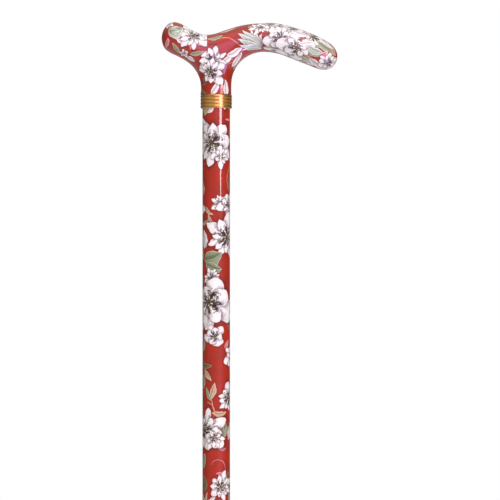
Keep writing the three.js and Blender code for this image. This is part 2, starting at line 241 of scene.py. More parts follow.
def tint(red, green, blue):
    """A colour from its 0 to 255 screen values."""
    shares = [value / 255 for value in (red, green, blue)]
    return tuple(((share + 0.055) / 1.055) ** 2.4 if share > 0.04 else share / 12.92 for share in shares)


def new_group(name, inputs, outputs):
    """A node group, its graph, and its inputs as terms. Socket kinds are Float and Color."""
    tree = bpy.data.node_groups.new(name, "ShaderNodeTree")
    for socket, kind in inputs.items():
        tree.interface.new_socket(socket, in_out="INPUT", socket_type="NodeSocket" + kind)
    for socket, kind in outputs.items():
        tree.interface.new_socket(socket, in_out="OUTPUT", socket_type="NodeSocket" + kind)
    graph = Graph(tree)
    entry = graph.node("NodeGroupInput")
    return tree, graph, [Term(graph, output) for output in entry.outputs][:len(inputs)]


def end_group(graph, *values):
    leave = graph.node("NodeGroupOutput")
    for socket, value in zip(leave.inputs, values):
        graph.feed(socket, value)


# ---- Print motifs: all work in film millimetres, U across and V along ----

PLACE_INPUTS = {
    "U": "Float", "V": "Float", "Under": "Color", "CentreU": "Float", "CentreV": "Float",
    "Turn": "Float", "Size": "Float", "Around": "Float", "Along": "Float",
}


def local_group():
    """Turns film millimetres into a motif's own coordinates, with the film's repeats."""
    tree, g, (u, v, centre_u, centre_v, turn, size, around, along) = new_group(
        "local", {n: k for n, k in PLACE_INPUTS.items() if n != "Under"}, {"X": "Float", "Y": "Float"})
    across = g.maths("WRAP", u - centre_u, around * 0.5, around * -0.5)
    up = g.maths("WRAP", v - centre_v, along * 0.5, along * -0.5)
    cosine = g.maths("COSINE", turn)
    sine = g.maths("SINE", turn)
    x = (across * cosine + up * sine) / size
    y = (up * cosine - across * sine) / size
    end_group(g, x, y)
    return tree


LOCAL = local_group()
WHITE = tint(249, 248, 236)
PINK = tint(228, 140, 146)
FOLD = tint(160, 152, 152)
DUSK = tint(92, 66, 62)
HEART = tint(46, 24, 24)
OLIVE = tint(112, 96, 52)
CREAM = tint(236, 216, 176)
SHADOW = tint(74, 24, 22)


def blossom_group():
    """A five- to seven-petalled flower in two layers, with dark folds round a streaked heart."""
    own = {"Petals": "Float", "Blush": "Float", "Point": "Float", "Lean": "Float", "Seed": "Float",
           "Streak": "Float"}
    tree, g, terms = new_group("blossom", {**PLACE_INPUTS, **own}, {"Colour": "Color"})
    u, v, under, centre_u, centre_v, turn, size, around, along, *own_terms = terms
    petals, blush, point, lean, seed, streak = own_terms
    x, y = g.use(LOCAL, U=u, V=v, CentreU=centre_u, CentreV=centre_v, Turn=turn, Size=size,
                 Around=around, Along=along)
    reach = (x * x + y * y) ** 0.5
    angle = g.maths("ARCTAN2", y, x)
    reach = reach * (1 + lean * g.maths("SINE", angle))
    share = angle / (2 * math.pi) + 0.045 * g.maths("SINE", angle + seed * 9)
    colour = under
    for layer, (length, start) in enumerate(((1.0, 0.5), (0.74, 0.02))):
        place = share * petals + start
        number = g.maths("FLOOR", place)
        across = place - number
        pick = g.chance(g.maths("FLOORED_MODULO", number, petals) + seed * 7.3 + layer * 3.1)
        side = abs(across * 2 - 1)
        edge = (0.74 + 0.34 * pick) * length * (1 - 0.56 * side ** point)
        inner = edge - reach
        rim = g.ramp(inner, 0.24 * length, 0.02)
        body = g.mix(rim * (0.03 + blush * 0.6), WHITE, PINK)
        body = g.mix(g.ramp(across, 0.5, 0.0) * (0.15 + 0.5 * pick), body, FOLD)
        veins = g.ramp(g.maths("SINE", across * 27 + streak * 10), 0.3, 1.0)
        body = g.mix(veins * 0.3 * g.ramp(reach, length * 0.95, length * 0.2), body, FOLD)
        deep = side * 0.5 + streak + pick * 0.3
        body = g.mix(g.ramp(deep, 0.7, 1.2) * g.ramp(reach, length * 0.85, length * 0.25), body, DUSK)
        gap = g.ramp(deep, 0.9, 1.12) * g.ramp(reach, length * 0.78, length * 0.45)
        body = g.mix(gap, body, HEART)
        body = g.mix(g.ramp(inner, 0.08, 0.03) * 0.6, body, WHITE)
        colour = g.mix(g.ramp(inner, -0.2, 0.0) * 0.5, colour, SHADOW)
        colour = g.mix(g.ramp(inner, 0.0, 0.03), colour, body)
    rays = g.maths("PINGPONG", share * petals * 2 + streak * 2.2, 0.5) * 2
    heart = 0.12 + 0.6 * rays * (0.2 + 0.9 * streak)
    dark = g.mix(g.ramp(streak, 0.5, 0.66), HEART, OLIVE)
    colour = g.mix(g.ramp(heart - reach, 0.0, 0.07) * 0.9, colour, dark)
    anthers = g.ramp(g.maths("SINE", angle * 7), 0.6, 0.85) * g.ramp(abs(reach - 0.13), 0.04, 0.02)
    colour = g.mix(anthers, colour, CREAM)
    end_group(g, colour)
    return tree


def leaf_group():
    """A pointed leaf or petal with a bent midrib, side veins and a paler rim. Its length is twice Size."""
    own = {"Width": "Float", "Bend": "Float", "Flesh": "Color", "Rim": "Color"}
    tree, g, terms = new_group("leaf", {**PLACE_INPUTS, **own}, {"Colour": "Color"})
    u, v, under, centre_u, centre_v, turn, size, around, along, width, bend, flesh, rim = terms
    x, y = g.use(LOCAL, U=u, V=v, CentreU=centre_u, CentreV=centre_v, Turn=turn, Size=size,
                 Around=around, Along=along)
    ends = g.maths("MAXIMUM", 1 - x * x, 0.0)
    y = y + bend * ends
    half = width * ends ** 0.85 * (1 + x * -0.28)
    inner = half - abs(y)
    veins = g.ramp(g.maths("SINE", (x - abs(y) * 1.3) * 26), 0.2, 1.0)
    deep = g.mix(1.0, flesh, (0.4, 0.37, 0.34), "MULTIPLY")
    body = g.mix(veins * 0.35, flesh, rim)
    body = g.mix(g.ramp(abs(y - width * 0.2), width * 0.5, 0.0) * 0.75, body, deep)
    body = g.mix(g.ramp(abs(y), 0.04, 0.015) * 0.6, body, rim)
    body = g.mix(g.ramp(inner, 0.12, 0.05) * 0.85, body, rim)
    length = g.ramp(ends, 0.0, 0.02)
    colour = g.mix(g.ramp(inner, -0.1, 0.0) * 0.45 * length, under, SHADOW)
    colour = g.mix(g.ramp(inner, 0.0, 0.045) * length, colour, body)
    end_group(g, colour)
    return tree


def tendril_group():
    """A thin arc of a circle, tapering to its ends. Size is its radius and Sweep half its angle."""
    own = {"Sweep": "Float", "Thick": "Float", "Line": "Color"}
    tree, g, terms = new_group("tendril", {**PLACE_INPUTS, **own}, {"Colour": "Color"})
    u, v, under, centre_u, centre_v, turn, size, around, along, sweep, thick, line = terms
    x, y = g.use(LOCAL, U=u, V=v, CentreU=centre_u, CentreV=centre_v, Turn=turn, Size=size,
                 Around=around, Along=along)
    reach = (x * x + y * y) ** 0.5
    angle = abs(g.maths("ARCTAN2", y, x)) / sweep
    half = thick / size * 0.5 * (1 - angle * 0.6)
    cover = g.ramp(abs(reach - 1) / half, 1.3, 0.7) * g.ramp(angle, 1.0, 0.93)
    end_group(g, g.mix(cover, under, line))
    return tree


BLOSSOM = blossom_group()
LEAF = leaf_group()
TENDRIL = tendril_group()

SAGE = (tint(135, 147, 108), tint(200, 202, 166))
DARK_SAGE = (tint(108, 98, 66), tint(176, 148, 112))
STRAW = (tint(190, 160, 122), tint(240, 214, 184))
PALE = (tint(174, 190, 160), tint(238, 242, 226))
PETAL = (tint(238, 232, 220), tint(250, 246, 236))
BUD = (tint(226, 128, 134), tint(246, 204, 200))
STEM = tint(226, 176, 142)


def blossom(u, v, size, turn=0, petals=5, blush=0.3, point=1.5, lean=0.15):
    """A row for a flower; turn is in degrees."""
    return BLOSSOM, u, v, turn, size, {
        "Petals": float(petals), "Blush": blush, "Point": point, "Lean": lean,
        "Seed": u * 0.37 + v * 0.11,
    }


def leaf(u, v, size, turn=0, tone=SAGE, width=0.36, bend=0.15):
    """A row for a leaf or a single petal; tone holds its flesh and rim colours."""
    return LEAF, u, v, turn, size, {"Width": width, "Bend": bend, "Flesh": tone[0], "Rim": tone[1]}


def tendril(u, v, size, turn=0, sweep=80, thick=0.55, line=STEM):
    """A row for a thin curled stem; sweep is half its arc, in degrees."""
    return TENDRIL, u, v, turn, size, {"Sweep": math.radians(sweep), "Thick": thick, "Line": line}


def fan(u, v, size, turn, fingers=5, spread=28, tone=SAGE, width=0.24):
    """Leaves that spread from one point (u, v), the middle one pointing along turn."""
    rows = []
    for n in range(fingers):
        offset = n - (fingers - 1) / 2
        length = size * (1 - 0.12 * abs(offset))
        way = math.radians(turn + spread * offset)
        rows.append(leaf(u + length * math.cos(way), v + length * math.sin(way), length,
                         math.degrees(way), tone, width, 0.06 * offset))
    return rows


def lay(g, u, v, streak, colour, rows, around=1000.0, along=1000.0):
    """Prints the rows one over another on colour."""
    for group, centre_u, centre_v, turn, size, own in rows:
        extra = {"Streak": streak} if group == BLOSSOM else {}
        colour = g.use(group, U=u, V=v, Under=colour, CentreU=float(centre_u), CentreV=float(centre_v),
                       Turn=math.radians(turn), Size=float(size), Around=around, Along=along,
                       **own, **extra)
    return colour


def hand_drawn(g, u, v):
    """The film coordinates with a gentle wander, and a fine noise for streaks in the petals."""
    wander_u, wander_v, _ = g.three_noises(g.place(), 160.0, 2.0)
    streak = g.noise(g.place(), 700.0, 2.0)
    wander = 3.4
    return u + (wander_u - 0.5) * wander, v + (wander_v - 0.5) * wander, streak


def red_ground(g, where):
    """The print's ground: red, softly clouded, with a fine dark grain."""
    clouds = g.noise(where, 90.0, 3.0)
    grain = g.noise(where, 900.0, 2.0)
    colour = g.mix(g.ramp(clouds, 0.3, 0.7), tint(177, 43, 21), tint(154, 45, 23))
    return g.mix(g.ramp(grain, 0.5, 0.75) * 0.25, colour, tint(120, 30, 24))


FILM_REPEAT = 312.0  # the tube's print starts again after this length

TUBE_PRINT = [
    # Leaves and stems lie under the flowers.
    *fan(-11, 789, 6, 75, 3, 34, STRAW, 0.3), leaf(-4, 795, 5.5, 55, PETAL, 0.34),
    leaf(11.5, 786, 3, 0, BUD, 0.3), leaf(13.5, 771, 6, 100, DARK_SAGE, 0.4),
    leaf(10, 760, 3.4, 80, BUD, 0.5), leaf(15.5, 756, 5, 95, SAGE, 0.4), tendril(9, 742, 14, 20, 60),
    leaf(13, 736, 6.5, 80, DARK_SAGE, 0.36), leaf(16.5, 741, 5, 110, DARK_SAGE),
    leaf(-7, 713, 5.4, -35, STRAW, 0.3), leaf(-4.5, 706, 5, -62, STRAW, 0.28),
    leaf(-11, 704, 5, 20, STRAW, 0.28), leaf(-14, 731, 6, 90, STRAW, 0.3),
    leaf(-12, 690, 8, 95, PETAL, 0.4), leaf(-15, 678, 6, 80, SAGE, 0.4),
    leaf(13, 622, 5.5, -60, DARK_SAGE, 0.4), leaf(9.5, 607, 4, 60, BUD, 0.5),
    leaf(-13, 606, 6, 85, SAGE, 0.34), leaf(-9, 590, 6, 5, DARK_SAGE), leaf(-7, 582, 6, -55, STRAW, 0.3),
    leaf(-13, 577, 6, 80, SAGE, 0.4), leaf(-3, 570, 7.5, 78, STRAW, 0.3),
    leaf(-7.5, 567, 6, 112, SAGE, 0.26), leaf(3, 552, 6, 4, STRAW, 0.34), tendril(8, 562, 12, 180, 42),
    tendril(-9, 552, 8, 30, 60), *fan(7, 533, 6.5, 95, 4, 26, SAGE, 0.3),
    leaf(13, 537, 7, 80, PETAL, 0.4), leaf(5, 524, 3.4, 0, BUD, 0.4), leaf(-13, 513, 7, 70, SAGE, 0.4),
    tendril(2, 509, 6, 40, 130, 0.5, PINK), leaf(3, 504, 3, 10, BUD, 0.45),
    leaf(9, 500, 5.5, 60, DARK_SAGE, 0.4), leaf(-12, 495, 7, 80, DARK_SAGE, 0.5),
    leaf(13, 487, 6, 100, SAGE, 0.4),
    # Large and small flowers of the side that faces the camera.
    blossom(-4, 767, 21.5, 100, 6, 0.15, 1.25, 0.1), blossom(3.5, 757, 9.5, 40, 5, 0.4, 1.2),
    blossom(2.5, 719.5, 8, 20, 5, 0.3, 1.1), blossom(11, 717, 9.5, 250, 5, 0.2, 1.3),
    blossom(9.5, 691, 18.5, 190, 6, 0.2, 1.2), leaf(-3, 676, 8.5, 20, SAGE, 0.8),
    leaf(-2.5, 668, 7.5, -15, SAGE, 0.6), blossom(-4, 660, 9, 10, 6, 0.25, 1.2),
    blossom(-6.5, 641, 22.5, 60, 5, 0.2, 1.9), blossom(-1.5, 613, 10, 30, 4, 0.75, 2.4, 0.0),
    blossom(18, 597, 12, 0, 5, 0.3, 1.6), blossom(11.5, 563, 13.5, 150, 5, 0.5, 1.15),
    blossom(-11, 538, 19, 70, 6, 0.16, 1.4), blossom(-1.5, 532, 10, -60, 5, 0.4, 1.1),
    blossom(4.5, 493, 13.5, 30, 6, 0.55, 1.2, 0.05),
    # The far side.
    *fan(24, 770, 8, 60, 4, 28, SAGE), leaf(31, 752, 7, -40, STRAW), tendril(26, 738, 16, 150, 70),
    leaf(-24, 741, 8, 75, SAGE, 0.4), leaf(-28, 729, 6, 120, DARK_SAGE),
    *fan(-27, 690, 7, -80, 4, 30, STRAW, 0.28), leaf(27, 662, 8, 40, SAGE, 0.42),
    leaf(33, 650, 6, 95, DARK_SAGE), tendril(-25, 652, 14, -30, 75),
    *fan(29, 604, 7, 120, 4, 30, SAGE, 0.3), leaf(-27, 598, 7, 20, STRAW), leaf(-24, 560, 7, -60, SAGE),
    tendril(28, 548, 13, 200, 80), *fan(24, 520, 7, 75, 4, 30, SAGE, 0.28),
    leaf(-26, 505, 7, 130, DARK_SAGE), blossom(-24, 786, 16, 0, 6, 0.4, 1.3),
    blossom(33, 792, 14, 80, 5, 0.3, 1.6), blossom(30, 727, 19, 120, 6, 0.2, 1.5),
    blossom(-21, 716, 10, 60, 5, 0.6, 1.2), blossom(-31, 668, 17, 200, 5, 0.3, 1.3),
    blossom(22, 640, 11, 20, 5, 0.5, 1.2), blossom(-23, 622, 15, 140, 6, 0.25, 1.6),
    blossom(33, 578, 18, 75, 6, 0.2, 1.4), blossom(-25, 577, 11, 15, 5, 0.5, 1.2),
    blossom(31, 509, 17, 40, 6, 0.3, 1.3), blossom(-25, 526, 12, 95, 5, 0.4, 1.5),
]

# The handle's film is laid from both sides: U and V are the side view's X and Z, carried on past the
# outline as far as the surface goes round to the handle's middle plane.
NOSE_PRINT = [
    leaf(-32.5, 842, 5.4, 118, SAGE, 0.34), leaf(-21, 845.5, 4.6, 98, STRAW, 0.34),
    leaf(-15, 839, 6, 14, SAGE, 0.36), leaf(-28, 838, 4, 160, STRAW, 0.3),
    leaf(-20, 833.5, 4, -28, PETAL, 0.5), leaf(-41, 846, 6, 70, BUD, 0.34),
    blossom(-25.5, 838, 4.5, 20, 5, 0.2, 1.0), leaf(-26, 848, 7, -24, PETAL, 0.28),
    leaf(-13, 847, 7, -16, BUD, 0.26), blossom(-18, 852.5, 15, 160, 6, 0.3, 1.4, 0.2),
    blossom(-5, 858, 9, 40, 5, 0.3, 1.4), leaf(-32, 857, 7.4, 20, PALE, 0.8),
    tendril(-32, 857, 4.6, 150, 150, 0.7, OLIVE), tendril(-31.5, 856.6, 2.4, 20, 140, 0.7, OLIVE),
    blossom(-40, 866, 8, 40, 5, 0.4, 1.4),
]
ARM_PRINT = [
    leaf(-1, 852.3, 6.5, 12, SAGE, 0.32), tendril(6, 836, 15, 72, 42), leaf(8, 861, 7, 20, STRAW, 0.3),
    tendril(4, 826, 12, 60, 30), tendril(14, 822, 8, 60, 60), leaf(-10, 818, 6, 70, DARK_SAGE, 0.36),
    leaf(-1, 811, 7, 62, PETAL, 0.34), leaf(8, 811, 6.5, 96, PETAL, 0.4), leaf(14, 803, 5, 50, SAGE),
    leaf(-12, 806, 5, 120, DARK_SAGE), leaf(18, 832.5, 6.5, 60, PETAL, 0.42),
    leaf(22, 828, 6, 30, STRAW, 0.4), leaf(4, 802, 5, 110, SAGE, 0.3),
    # The lily-like pair over the neck.
    leaf(9, 834, 7, 40, PETAL, 0.3), leaf(15, 839.5, 7, 30, PETAL, 0.42),
    blossom(-1.5, 832.5, 13.5, 96, 7, 0.25, 1.0, -0.2), blossom(-4.5, 823.5, 12, 250, 6, 0.3, 1.1, -0.15),
    # The spread leaves and the crowded flowers of the long arm, over petals along its edges.
    leaf(46, 841, 9, 5, PETAL, 0.4), leaf(59, 836, 9, -20, PETAL, 0.45),
    leaf(72, 830, 9, -28, PETAL, 0.45), leaf(84, 824, 7, -20, PETAL, 0.45),
    leaf(60, 862, 9, -14, PETAL, 0.4), leaf(74, 857, 9, -24, PETAL, 0.4),
    leaf(87, 850, 9, -38, PETAL, 0.4), *fan(37.0, 838.5, 14.0, 134, 8, 12, PALE, 0.23),
    leaf(47, 837, 7, 20, SAGE, 0.4), leaf(30, 864, 6, 30, STRAW, 0.3),
    leaf(91, 851, 8, -40, DARK_SAGE, 0.36), leaf(83, 847, 10, -20, SAGE, 0.36),
    leaf(77, 841, 10, -30, SAGE, 0.4), leaf(71, 835, 8, -24, STRAW, 0.4),
    leaf(66, 829, 6, -10, SAGE, 0.4), leaf(95, 842, 7, -64, STRAW, 0.5),
    leaf(100, 850, 6, -60, PETAL, 0.5), blossom(43, 866, 11, 100, 5, 0.3, 1.5),
    leaf(43, 848, 6, 60, PETAL, 0.4), leaf(80, 829, 7, -30, PETAL, 0.5),
    blossom(78, 853, 12, 100, 6, 0.35, 1.3), leaf(60, 836, 7, -30, PETAL, 0.5),
    leaf(67, 833, 7, -24, PALE, 0.5), blossom(35, 860.5, 9, 250, 6, 0.25, 1.1),
    blossom(63, 861, 12, 200, 6, 0.2, 1.5), blossom(51, 850, 17.5, 20, 6, 0.16, 2.0, 0.1),
    blossom(64, 842, 14, 250, 5, 0.14, 2.1, 0.15), leaf(68, 856, 8, -20, PETAL, 0.4),
    leaf(73, 847, 7, 10, PETAL, 0.4), leaf(90, 848, 7, -40, PETAL, 0.4), leaf(79, 841, 8, -20, PALE, 0.4),
    leaf(88, 844, 8, -35, SAGE, 0.4), leaf(86, 838, 4, 30, BUD, 0.5),
    blossom(89, 830, 11, 70, 5, 0.45, 1.5),
]
BACK_PRINT = [
    *fan(-28, 842, 6, 60, 4, 34, STRAW, 0.3), leaf(-38, 856, 7, 30, SAGE, 0.5),
    tendril(-14, 840, 12, 40, 60), leaf(-2, 818, 8, 75, SAGE, 0.3), leaf(6, 812, 6, 110, DARK_SAGE),
    tendril(2, 836, 15, 120, 60), *fan(24, 842, 9, 20, 5, 26, SAGE, 0.24), leaf(16, 858, 6, 20, STRAW),
    leaf(63, 832, 8, -10, SAGE, 0.4), tendril(66, 842, 14, 100, 50), leaf(84, 849, 8, -40, STRAW, 0.4),
    leaf(93, 838, 7, 70, SAGE, 0.5), blossom(-20, 851, 14, 20, 6, 0.3, 1.3),
    blossom(3, 838, 15, 60, 6, 0.35, 1.2), blossom(-6, 824, 9, 10, 5, 0.3, 1.4),
    blossom(5, 808, 9, 100, 5, 0.5, 1.2), blossom(42, 855, 16, 100, 6, 0.2, 1.6),
    blossom(73, 848, 15, 40, 6, 0.35, 1.4), blossom(24, 862, 9, 60, 5, 0.3),
    blossom(58, 843, 9, 250, 5, 0.5, 1.2), blossom(88, 834, 10, 10, 5, 0.4, 1.3),
    blossom(-38, 846, 8, 60, 5, 0.3),
]
# On the front the nose has a film of its own: it ends level at SEAM_U, and slants away below SEAM_LOW.
SEAM_U = -7.3
SEAM_LOW = 841.0


def tube_print(g):
    _, angle, height = g.polar()
    u, v, streak = hand_drawn(g, angle * (TUBE_RADIUS / MM), height / MM)
    ground = red_ground(g, g.place())
    return lay(g, u, v, streak, ground, TUBE_PRINT, 2 * math.pi * TUBE_RADIUS / MM, FILM_REPEAT)


def handle_print(g):
    film = g.node("ShaderNodeUVMap", uv_map="film")
    across, up, _ = g.split(Term(g, film.outputs[0]))
    u, v, streak = hand_drawn(g, across, up)
    _, depth, _ = g.split(g.place())
    ground = red_ground(g, g.place())
    nose = lay(g, u, v, streak, ground, NOSE_PRINT)
    arm = lay(g, u, v, streak, ground, ARM_PRINT)
    seam = SEAM_U - g.maths("MAXIMUM", SEAM_LOW - up, 0.0)
    front = g.mix(g.maths("GREATER_THAN", across, seam), nose, arm)
    back = lay(g, u, v, streak, ground, BACK_PRINT)
    return g.mix(g.maths("GREATER_THAN", depth, 0.0), front, back)


# ---- Materials ----

def new_material(name):
    """A material with an empty tree, and its graph."""
    material = bpy.data.materials.new(name)
    material.use_nodes = True
    material.node_tree.nodes.clear()
    return material, Graph(material.node_tree)


def shade(g, colour, roughness, metallic=0.0, normal=None, **settings):
    """Ends a material with a Principled shader; settings are constants on its own sockets."""
    shader = g.node("ShaderNodeBsdfPrincipled")
    g.feed(shader.inputs["Base Color"], colour)
    g.feed(shader.inputs["Roughness"], roughness)
    g.feed(shader.inputs["Metallic"], metallic)
    if normal is not None:
        g.feed(shader.inputs["Normal"], normal)
    for name, value in settings.items():
        shader.inputs[name.replace("_", " ")].default_value = value
    leave = g.node("ShaderNodeOutputMaterial")
    g.tree.links.new(shader.outputs[0], leave.inputs["Surface"])


LACQUER = {"Coat_Weight": 1.0, "Coat_Roughness": 0.035, "Coat_IOR": 1.5, "Specular_IOR_Level": 0.15}


def printed_lacquer(name, print_colour):
    material, g = new_material(name)
    colour = print_colour(g)
    flow = g.noise(g.place(), 90.0, 1.0)
    shade(g, colour, 0.42, normal=g.bump(flow, 0.015 * MM, 0.4), **LACQUER)
    return material


def turned_metal(name, bright, dull, roughness, groove_from=None, groove_to=None, metallic=1.0, **settings):
    """Metal with fine turning marks round the axis, and painted shade that dulls it where it is nearer the
    axis.
    """
    material, g = new_material(name)
    radius, angle, height = g.polar()
    marks = g.noise(g.vector(angle * 0.4, height * 6000, radius * 3000), 1.0, 3.0)
    wear = g.noise(g.place(), 120.0, 3.0)
    colour = g.mix(g.ramp(wear, 0.35, 0.75) * 0.3, bright, dull)
    # Painted shade: the colour turns dull in the grooves, between groove_from and groove_to from the axis.
    if groove_from is not None:
        colour = g.mix(g.ramp(radius, groove_to, groove_from), colour, dull)
    normal = g.bump(marks, 0.02 * MM, 0.5)
    shade(g, colour, roughness + 0.18 * wear * marks, metallic, normal, **settings)
    return material


def moulded(name, light, dark, roughness, grain_scale, grain_depth, **settings):
    """Plastic or rubber: a fine moulded grain, with slightly uneven colour."""
    material, g = new_material(name)
    grain = g.noise(g.place(), grain_scale, 4.0, 0.6)
    clouds = g.noise(g.place(), 70.0, 2.0)
    colour = g.mix(g.ramp(clouds, 0.3, 0.7), dark, light)
    shade(g, colour, roughness + 0.12 * grain, normal=g.bump(grain, grain_depth, 0.8), **settings)
    return material


def flat_steel(name, bright, dull, roughness):
    """Plated steel: a faint grain along Z and cloudy plating."""
    material, g = new_material(name)
    x, y, z = g.split(g.place())
    grain = g.noise(g.vector(x * 9000, y * 9000, z * 500), 1.0, 3.0)
    clouds = g.noise(g.place(), 260.0, 3.0)
    colour = g.mix(g.ramp(clouds, 0.35, 0.7), bright, dull)
    shade(g, colour, roughness + 0.2 * grain, 1.0, g.bump(grain, 0.01 * MM, 0.5))
    return material


def worn_rubber():
    """Black rubber, greyed by dust on the tread and at the base's rim."""
    material, g = new_material("rubber")
    radius, _, height = g.polar()
    grain = g.noise(g.place(), 2600.0, 4.0, 0.65)
    dust = g.noise(g.place(), 160.0, 4.0, 0.6)
    low = g.ramp(height, 9 * MM, 0.0)
    rim = g.ramp(radius, FERRULE_RADIUS - 2.5 * MM, FERRULE_RADIUS)
    share = g.maths("MINIMUM", (low * 0.5 + rim * 0.35) * g.ramp(dust, 0.3, 0.75), 0.8)
    colour = g.mix(share, tint(27, 27, 28), tint(88, 84, 78))
    shade(g, colour, 0.62 + 0.2 * dust, normal=g.bump(grain, 0.06 * MM, 0.8))
    return material


PRINTED_TUBE = printed_lacquer("printed_tube", tube_print)
PRINTED_HANDLE = printed_lacquer("printed_handle", handle_print)
BARE_ALUMINIUM = turned_metal("bare_aluminium", tint(214, 216, 220), tint(168, 170, 175), 0.28)
# The gold takes painted shade in the collar's grooves, inside the two radii given below.
GOLD = turned_metal("gold", tint(254, 222, 66), tint(196, 136, 14), 0.25,
                    COLLAR_RADIUS - 0.25 * MM, COLLAR_RADIUS - 0.62 * MM, 0.8,
                    Coat_Weight=1.0, Coat_Roughness=0.14, Coat_IOR=1.8)
BRASS = turned_metal("brass", tint(222, 190, 120), tint(150, 112, 52), 0.2)
ANODISED = turned_metal("black_anodised", tint(44, 44, 47), tint(26, 26, 28), 0.34)
STEEL = flat_steel("zinc_steel", tint(198, 201, 206), tint(140, 143, 150), 0.25)
BLACK_NYLON = moulded("black_nylon", tint(38, 38, 40), tint(27, 27, 29), 0.4, 1800.0, 0.04 * MM)
PALE_NYLON = moulded("pale_nylon", tint(232, 228, 214), tint(214, 208, 190), 0.42, 1500.0, 0.03 * MM)
RUBBER = worn_rubber()


# ---- Mesh helpers ----

def soften(outline, reach, steps=4):
    """A closed outline with each corner rounded, starting at most reach from the corner."""
    rounded = []
    count = len(outline)
    for n in range(count):
        before, corner, after = (np.array(outline[(n + step) % count], float) for step in (-1, 0, 1))
        into, out = corner - before, after - corner
        turn = abs(into[0] * out[1] - into[1] * out[0]) / (np.linalg.norm(into) * np.linalg.norm(out))
        if turn < 0.15 or (corner[0] < 1e-9):
            rounded.append(tuple(corner))
            continue
        start = corner - into * min(reach / np.linalg.norm(into), 0.45)
        end = corner + out * min(reach / np.linalg.norm(out), 0.45)
        for t in np.linspace(0, 1, steps + 1):
            rounded.append(tuple(start * (1 - t) ** 2 + corner * 2 * t * (1 - t) + end * t * t))
    return rounded


def turned(profile, sides=96, shift=None):
    """A closed mesh turned about Z from an outline of (radius, height) points, which closes on itself
    or starts and ends on the axis. shift(angles, radii, heights) may change the radii."""
    rows = np.array(profile, float)
    on_axis = rows[0, 0] < 1e-9
    angles = np.arange(sides) * 2 * math.pi / sides
    radii = np.repeat(rows[:, :1], sides, axis=1)
    heights = np.repeat(rows[:, 1:], sides, axis=1)
    if shift:
        radii = shift(angles[None, :], radii, heights)
    points = np.stack([radii * np.sin(angles), -radii * np.cos(angles), heights], axis=-1).reshape(-1, 3)
    faces = []
    for i in range(len(rows) - (1 if on_axis else 0)):
        upper = (i + 1) % len(rows)
        for j in range(sides):
            beside = (j + 1) % sides
            faces.append((i * sides + j, i * sides + beside, upper * sides + beside, upper * sides + j))
    mesh = bpy.data.meshes.new("turned")
    mesh.from_pydata(points.tolist(), [], faces)
    return tidied(mesh, 1e-7)


def tidied(mesh, merge):
    """The mesh with doubled vertices merged and its faces turned outwards."""
    bm = bmesh.new()
    bm.from_mesh(mesh)
    bmesh.ops.remove_doubles(bm, verts=bm.verts, dist=merge)
    bmesh.ops.dissolve_degenerate(bm, edges=bm.edges, dist=merge)
    bmesh.ops.recalc_face_normals(bm, faces=bm.faces)
    bm.to_mesh(mesh)
    bm.free()
    return mesh


def laid_forward(mesh):
    """Turns a mesh so that its +Z points to -Y."""
    mesh.transform(Matrix.Rotation(math.pi / 2, 4, "X"))
    return mesh


def bar(radius, length, sides=48):
    """A round bar from the origin along -Y, as a cutter."""
    return laid_forward(turned([(0, 0), (radius, 0), (radius, length), (0, length)], sides))


def show(name, mesh):
    obj = bpy.data.objects.new(name, mesh)
    bpy.context.scene.collection.objects.link(obj)
    return obj


def carved(mesh, cutters):
    """The mesh with the cutters, (mesh, place) pairs, taken out of it."""
    body = show("carved", mesh)
    tools = []
    for cutter, place in cutters:
        tool = show("cutter", cutter)
        tool.location = place
        tools.append(tool)
        cut = body.modifiers.new("cut", "BOOLEAN")
        cut.operation = "DIFFERENCE"
        cut.solver = "EXACT"
        cut.object = tool
    bpy.context.view_layer.update()
    made = bpy.data.meshes.new_from_object(body.evaluated_get(bpy.context.evaluated_depsgraph_get()))
    for obj in (body, *tools):
        bpy.data.objects.remove(obj)
    return made


def piece(name, mesh, node, materials, sharp=32):
    """A finished piece that stands for a CAD node and rides on its body."""
    mesh.name = name
    obj = show(name, mesh)
    mesh.polygons.foreach_set("use_smooth", np.ones(len(mesh.polygons), bool))
    mesh.set_sharp_from_angle(angle=math.radians(sharp))
    mesh.materials.clear()
    for material in materials:
        mesh.materials.append(material)
    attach(obj, frame["nodes"][node]["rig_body"])
    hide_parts(node)
    return obj


# ---- Handle ----

NECK_RADIUS = 12.1
NECK_FACE = HANDLE_LOW.z / MM
FILLET_RADIUS = 26.0
EDGE_ROUNDING = 11.2
HALF_THICKNESS = 12.1
PALM_SWELL = {"rise": 0.8, "centre": 42.0, "reach": 68.0}


def handle_knots():
    """The handle's side outline: (X, Z) in millimetres, anticlockwise from the neck's right side."""
    below = NECK_FACE - 8
    right_start, left_start = 814.2, 811
    fillet = []
    for angle in np.radians(np.arange(0, 91, 15)):
        widening = FILLET_RADIUS * (1 - math.cos(angle))
        fillet.append((NECK_RADIUS + widening, FILLET_RADIUS * math.sin(angle)))
    right = [(x, right_start + rise) for x, rise in fillet]
    left = [(-x, left_start + rise) for x, rise in reversed(fillet[:5])]
    long_arm = [
        (50, 838.6), (62, 834.2), (74, 829.5), (84.5, 825.9), (91.5, 827.1),
        (95.8, 831.8), (96.9, 838), (93.8, 844.4), (87.5, 849),
        (79, 853.6), (70, 857.1), (60, 860.2), (47, 863), (34, 862.9), (21, 861.4),
    ]
    saddle_and_nose = [
        (8.5, 857.9), (-1, 854.7), (-8, 853.8), (-15, 855.5),
        (-22, 858.9), (-28.5, 862.7), (-34.5, 864), (-39.8, 861.2), (-43.1, 855.3),
        (-43.5, 848.8), (-41.2, 843), (-36.8, 839.5), (-31.6, 837),
    ]
    return [(NECK_RADIUS, below), (NECK_RADIUS, NECK_FACE), *right, *long_arm, *saddle_and_nose, *left,
            (-NECK_RADIUS, below)]


